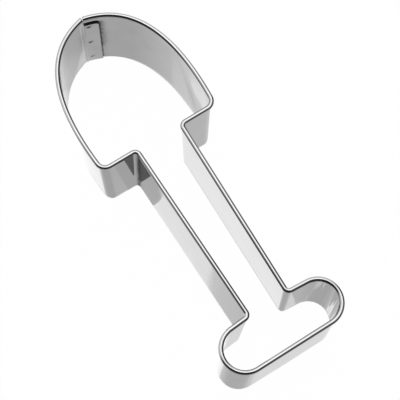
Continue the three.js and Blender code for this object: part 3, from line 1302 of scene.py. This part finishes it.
    def add_tongue(self, sheet: MeshSheet, ring: np.ndarray, end: np.ndarray, start: float) -> None:
        """Adds the tongue to the strip's mesh.

        Each ring is the lower part of the section, moved in by the lap's step, with its heights scaled to
        the tongue's top there, and closed by a rounded top edge.

        Args:
            sheet: the mesh to add to.
            ring: the strip's section.
            end: numbers of the points of the strip's last ring.
            start: distance along the strip of its last ring.
        """
        section = self.section
        first, last = section.tongue_bounds()
        lower = np.concatenate([np.arange(last, len(ring)), np.arange(0, first + 1)])
        top = section.sheet_end(0.0)
        middle = section.wall_offset(np.array(self.tab_height))
        edge = np.column_stack([middle + top[:, 0], self.tab_height - section.edge_round + top[:, 1]])
        profile = np.concatenate([ring[lower], edge])
        stations = self.tab_stations()
        distance = self.tab_distances()
        height = profile[:, 1] * (self.tab_tops() / self.tab_height)[:, None]
        offset = profile[:, 0] - self.lap_step(height)
        rings = sheet.add(stations.place(offset, height, section.bead_height))
        cover = sheet.add(self.first_edge(edge))
        numbers = np.concatenate([np.concatenate([end[lower], cover])[None, :], rings])
        along = start + np.concatenate([[0.0], self.seam + run_lengths(stations.rim)])
        across = run_lengths(np.concatenate([profile, profile[:1]]))
        cut = np.concatenate([section.cut_marks()[lower], np.ones(len(edge))])
        scorch = self.tab_scorch(distance[:, None], height)
        sheet.skin(
            numbers,
            along,
            across,
            cut=np.broadcast_to(cut, numbers.shape),
            scorch=np.concatenate([scorch[:1], scorch]),
            crease=np.zeros(numbers.shape),
        )
        sheet.cap(numbers[-1])

    def first_edge(self, edge: np.ndarray) -> np.ndarray:
        """Points of the tongue's top edge where it leaves the strip's left end.

        Args:
            edge: offsets and heights of the top edge.

        Returns:
            The points.
        """
        height = edge[None, :, 1]
        offset = edge[None, :, 0] - self.lap_step(height)
        return self.left_end().place(offset, height, self.section.bead_height)[0]

    def build(self, steel: BrightSteel) -> bpy.types.Object:
        """Makes the strip, puts it on the body and hides the solid it stands for.

        Args:
            steel: the strip's finish.

        Returns:
            The piece.
        """
        piece = show("steel_band_dressed", self.mesh(), steel.material())
        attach(piece, "root")
        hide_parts("steel_band")
        return piece


@dataclass(frozen=True)
class WeldPrint:
    """Burnt print of an electrode: an oval in the face of the weld."""

    length: float
    width: float
    tilt: float  # degrees that its long side rises towards the right, seen from inside
    faded: float = 1.3  # from the middle, where the burn ends, the oval's edge being at 1
    fade: float = 0.6  # before that, where it starts to fade

    def strength(self, right: np.ndarray, up: np.ndarray) -> np.ndarray:
        """How burnt the face is: 1 inside the oval, easing to 0 across its edge.

        The distance from the middle is measured in the oval's half length and half width.

        Args:
            right: distance of each point to the right of the middle.
            up: distance of each point above the middle.

        Returns:
            Strengths in the same grid.
        """
        long_way = turned(self.tilt)
        along = (right * long_way[0] + up * long_way[1]) * 2.0 / self.length
        across = (up * long_way[0] - right * long_way[1]) * 2.0 / self.width
        return smooth_step((self.faded - np.hypot(along, across)) / self.fade)


WELD_PRINTS = {
    WeldPlace.LOWER: WeldPrint(length=1.3, width=0.65, tilt=12.0),
    WeldPlace.MIDDLE: WeldPrint(length=1.6, width=0.9, tilt=30.0),
    WeldPlace.UPPER: WeldPrint(length=1.3, width=1.05, tilt=6.0),
}


@dataclass
class SpotWeld:
    """One fused spot through the lap, with the electrode's print on both faces."""

    place: WeldPlace
    height: float
    band: SteelBand
    burnt: WeldPrint
    radius: float = 0.6
    rim_height: float = 0.02  # how far the fused ring stands proud of both faces
    dish: float = 0.014  # depth of the print below the ring
    middle_share: float = 0.04  # of the radius, within which one face closes the middle
    crown_share: float = 0.45  # of the radius, where the ring starts to rise
    fall_share: float = 0.75  # of the radius, where it starts to fall to the sheet
    turns: int = 40  # points round the weld
    ring_steps: int = 14  # points from its middle to its edge
    sharp_angle: float = 50.0

    def profile(self) -> np.ndarray:
        """Half section of one face: a shallow print inside a low ring that falls to the sheet.

        The ring is half a wave of a sine from its start to the weld's edge, less an ease down to the
        sheet.

        Returns:
            Radius and height over the sheet of each point, from near the middle to below the edge.
        """
        share = np.linspace(self.middle_share, 1.0, self.ring_steps)
        rise = np.clip((share - self.crown_share) / (1.0 - self.crown_share), 0.0, 1.0)
        crown = np.sin(rise * math.pi)
        fall = self.rim_height * smooth_step((share - self.fall_share) / (1.0 - self.fall_share))
        over = self.rim_height - self.dish + self.dish * crown - fall
        return np.column_stack([share * self.radius, over])

    def mesh(self) -> bpy.types.Mesh:
        """The weld as a body turned about its own axis: both faces and the waist between them.

        Returns:
            The mesh.
        """
        section = self.band.section
        step = float(self.band.lap_step(np.array(self.height)))
        reach = (step + section.sheet) / 2.0
        face = self.profile()
        outer = np.column_stack([face[:, 0], face[:, 1] + reach])
        inner = np.column_stack([face[::-1, 0], -face[::-1, 1] - reach])
        profile = np.concatenate([outer, inner])
        angle = np.linspace(0.0, 2.0 * math.pi, self.turns, endpoint=False)
        station = self.band.outline.flank_stations(np.array([self.band.weld_distance]))
        offset = float(section.wall_offset(np.array(self.height))) - step / 2.0
        centre = station.place(np.array([[offset]]), np.array([[self.height]]), section.bead_height)[0, 0]
        out = np.array([station.out[0, 0], station.out[0, 1], 0.0])
        left = np.array([-out[1], out[0], 0.0])
        up = np.array([0.0, 0.0, 1.0])
        round_way = np.cos(angle)[None, :, None] * left + np.sin(angle)[None, :, None] * up
        grid = centre + profile[:, None, :1] * round_way + profile[:, None, 1:] * out
        burn = self.burnt.strength(-profile[:, :1] * np.cos(angle), profile[:, :1] * np.sin(angle))
        sheet = MeshSheet("burn")
        numbers = sheet.add(grid)
        across = np.linspace(0.0, 2.0 * math.pi * self.radius, self.turns + 1)
        sheet.skin(numbers[:, ::-1], run_lengths(profile), across, burn=burn[:, ::-1])
        sheet.cap(numbers[0])
        sheet.cap(numbers[-1, ::-1])
        return sheet.mesh(self.place.value + "_print", self.sharp_angle)

    def build(self, steel: bpy.types.Material) -> bpy.types.Object:
        """Makes the weld, puts it on the body and hides the solid it stands for.

        Args:
            steel: the weld's finish.

        Returns:
            The piece.
        """
        piece = show(self.place.value + "_dressed", self.mesh(), steel)
        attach(piece, "root")
        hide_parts(self.place.value)
        return piece


@dataclass(frozen=True)
class PhotoCamera:
    """Camera at the photograph's angle: nearly overhead, turned to the left of the spade's foot."""

    azimuth: float = -35.491  # degrees, as are the next two
    elevation: float = 74.778
    roll: float = 3.299
    distance: float = 301.858  # from the target
    lens: float = 119.109
    sensor: float = 36.0
    nearest: float = 10.0  # what is closer isn't shown
    target: tuple[float, float, float] = (3.882, -0.425, 0.0)

    def build(self) -> bpy.types.Object:
        """Makes the camera and gives it to the scene.

        It looks back along the way from the target at its azimuth and elevation, and its right and up are
        turned about that way by its roll.

        Returns:
            The camera.
        """
        across, rise = math.radians(self.azimuth), math.radians(self.elevation)
        back = np.array(
            [math.sin(across) * math.cos(rise), -math.cos(across) * math.cos(rise), math.sin(rise)]
        )
        level = np.array([math.cos(across), math.sin(across), 0.0])
        upward = np.cross(back, level)
        tilt = math.radians(self.roll)
        right = math.cos(tilt) * level + math.sin(tilt) * upward
        up = -math.sin(tilt) * level + math.cos(tilt) * upward
        eye = (np.array(self.target) + back * self.distance) * MM
        data = bpy.data.cameras.new("photo_camera")
        data.lens = self.lens
        data.sensor_width = self.sensor
        data.clip_start = self.nearest * MM
        camera = put("photo_camera", data)
        turn = Matrix(np.column_stack([right, up, back]).tolist()).to_4x4()
        camera.matrix_world = Matrix.Translation(eye.tolist()) @ turn
        bpy.context.scene.camera = camera
        return camera


@dataclass(frozen=True)
class PaleFloor:
    """Pale table top: white to the camera, and in reflections a polished sheet that glows round the part."""

    size: float = 3000.0  # from the middle to each side
    colour: Colour = grey(0.8)
    camera_share: float = 0.99  # of white to the camera, the rest being paper in the part's shadow
    glow: float = 0.77  # level of the sheet in reflections
    far_glow: float = 0.18  # its level far from the part
    pool: Range = (40.0, 67.0)  # half width and length of the oval where it glows fully
    pool_fade: float = 1.8  # the oval, this many times larger, is where it has dimmed
    lift_way: tuple[float, float, float] = (-0.6, 0.8, 0.0)  # towards the brighter end, left of the tip
    lift_range: Range = (30.5, 33.5)  # that way from the middle, where its level rises
    lift: float = 1.21  # how many times its level it reaches there
    second_share: float = 0.5  # of its level that is left after two reflections
    polish: float = 0.3  # share of the room that the sheet mirrors
    polish_roughness: float = 0.02

    def build(self) -> bpy.types.Object:
        """Makes the floor.

        Returns:
            The floor.
        """
        reach = self.size * MM
        mesh = bpy.data.meshes.new("pale_floor")
        corners = [(-reach, -reach, 0.0), (reach, -reach, 0.0), (reach, reach, 0.0), (-reach, reach, 0.0)]
        mesh.from_pydata(corners, [], [(0, 1, 2, 3)])
        floor = show("pale_floor", mesh, self.material())
        return floor

    def material(self) -> bpy.types.Material:
        """The floor's finish: plain paper, mixed with white for the camera and with the sheet for gloss.

        The sheet's glow falls from the oval outwards, is lifted at its brighter end and is weaker from the
        second reflection on.

        Returns:
            The material.
        """
        material, sheet = new_finish("pale_floor")
        path = sheet.add("ShaderNodeLightPath").outputs
        place = sheet.add("ShaderNodeTexCoord").outputs["Object"]
        shrink = (1.0 / (self.pool[0] * MM), 1.0 / (self.pool[1] * MM), 0.0)
        oval = sheet.work_out("ShaderNodeVectorMath", "MULTIPLY", place, shrink).outputs["Vector"]
        away = sheet.work_out("ShaderNodeVectorMath", "LENGTH", oval).outputs["Value"]
        level = sheet.ramp(away, 1.0, self.pool_fade, self.glow, self.far_glow)
        ahead = sheet.work_out("ShaderNodeVectorMath", "DOT_PRODUCT", place, self.lift_way).outputs["Value"]
        start, end = self.lift_range
        lift = sheet.ramp(ahead, start * MM, end * MM, 1.0, self.lift)
        loss = sheet.ramp(path["Glossy Depth"], 1.0, 2.0, 1.0, self.second_share)
        level = sheet.math("MULTIPLY", sheet.math("MULTIPLY", level, lift), loss)
        paper = sheet.add("ShaderNodeBsdfDiffuse", Color=self.colour).outputs[0]
        white = sheet.add("ShaderNodeEmission", Strength=1.0).outputs[0]
        glow = sheet.add("ShaderNodeEmission", Strength=level).outputs[0]
        polish = sheet.add(
            "ShaderNodeBsdfAnisotropic", Color=grey(self.polish), Roughness=self.polish_roughness
        )
        polished = sheet.tree.nodes.new("ShaderNodeAddShader")
        sheet.feed(polished.inputs[0], glow)
        sheet.feed(polished.inputs[1], polish.outputs[0])
        in_gloss = sheet.blend(path["Is Glossy Ray"], paper, polished.outputs[0])
        seen = sheet.math("MULTIPLY", path["Is Camera Ray"], self.camera_share)
        sheet.add("ShaderNodeOutputMaterial", Surface=sheet.blend(seen, in_gloss, white))
        return material


@dataclass(frozen=True)
class SoftBox:
    """A flat soft lamp that hangs level over the floor and shines down."""

    name: str
    centre: Range  # right and towards the tip, for each length up
    size: Range  # away from the camera and across, for each length up
    radiance: float
    height: float = 4000.0
    turn: float = 50.4  # degrees from the right to the way that points away from the camera

    def build(self) -> bpy.types.Object:
        """Makes the lamp. Its power is its radiance times pi times its area.

        Returns:
            The lamp.
        """
        reach = self.height * MM
        data = bpy.data.lights.new(self.name, "AREA")
        data.shape = "RECTANGLE"
        data.size = self.size[0] * reach
        data.size_y = self.size[1] * reach
        data.energy = self.radiance * math.pi * data.size * data.size_y
        lamp = put(self.name, data)
        spot = Matrix.Translation((self.centre[0] * reach, self.centre[1] * reach, reach))
        lamp.matrix_world = spot @ Matrix.Rotation(math.radians(self.turn), 4, "Z")
        return lamp


@dataclass(frozen=True)
class Studio:
    """The room: soft boxes overhead, a bright wall beyond the tip and a dim one behind the camera."""

    boxes: tuple[SoftBox, ...] = (
        SoftBox("over_box", centre=(0.105, 0.296), size=(0.61, 0.475), radiance=1.3),
        SoftBox("side_box", centre=(-0.176, 0.372), size=(0.37, 0.055), radiance=0.35),
    )
    dim: float = 0.035  # level of the dim side
    bright: float = 1.1  # level of the bright side
    low_range: Range = (0.15, 0.5)  # towards the tip, where the walls go from dim to bright
    high_range: Range = (-0.8, 0.05)  # away from the camera, where the ceiling does
    high_way: tuple[float, float, float] = (0.682, 0.731, 0.0)  # away from the camera
    ceiling: Range = (0.6, 0.8)  # upward part of a way, from the walls to the ceiling

    def build(self) -> None:
        """Makes the lamps and the world, which is white to the camera and otherwise bright on one side.

        The world's level is that of the walls, mixed with that of the ceiling as the way turns upwards.
        """
        for box in self.boxes:
            box.build()
        world = bpy.data.worlds.new("studio_room")
        world.use_nodes = True
        sheet = NodeSheet(world.node_tree)
        way = sheet.add("ShaderNodeTexCoord").outputs["Generated"]
        flat = sheet.work_out("ShaderNodeVectorMath", "MULTIPLY", way, (1.0, 1.0, 0.0)).outputs["Vector"]
        level_way = sheet.work_out("ShaderNodeVectorMath", "NORMALIZE", flat).outputs["Vector"]
        ahead = sheet.add("ShaderNodeSeparateXYZ", Vector=level_way).outputs["Y"]
        along = sheet.work_out("ShaderNodeVectorMath", "DOT_PRODUCT", level_way, self.high_way)
        low = sheet.ramp(ahead, *self.low_range, self.dim, self.bright)
        high = sheet.ramp(along.outputs["Value"], *self.high_range, self.dim, self.bright)
        upward = sheet.add("ShaderNodeSeparateXYZ", Vector=way).outputs["Z"]
        share = sheet.ramp(upward, *self.ceiling)
        mixed = sheet.add("ShaderNodeMix", Factor=share, A=low, B=high).outputs[0]
        path = sheet.add("ShaderNodeLightPath").outputs
        seen = sheet.math("MAXIMUM", mixed, path["Is Camera Ray"])
        room = sheet.add("ShaderNodeBackground", Color=grey(1.0), Strength=seen)
        sheet.add("ShaderNodeOutputWorld", Surface=room.outputs[0])
        bpy.context.scene.world = world


def main() -> None:
    """Builds the camera, the stage and the cutter's pieces in order, and logs each piece."""
    logging.basicConfig(level=logging.INFO, format="%(name)s: %(message)s")
    bpy.context.scene.view_settings.view_transform = "Standard"
    PhotoCamera().build()
    PaleFloor().build()
    Studio().build()
    band = SteelBand()
    pieces = [band.build(BrightSteel())]
    fused = FusedSteel().material()
    for place, height in zip(WeldPlace, band.weld_heights()):
        pieces.append(SpotWeld(place, float(height), band, WELD_PRINTS[place]).build(fused))
    for piece in pieces:
        LOG.info("%s: %d faces", piece.name, len(piece.data.polygons))


if __name__ == "__main__":
    main()
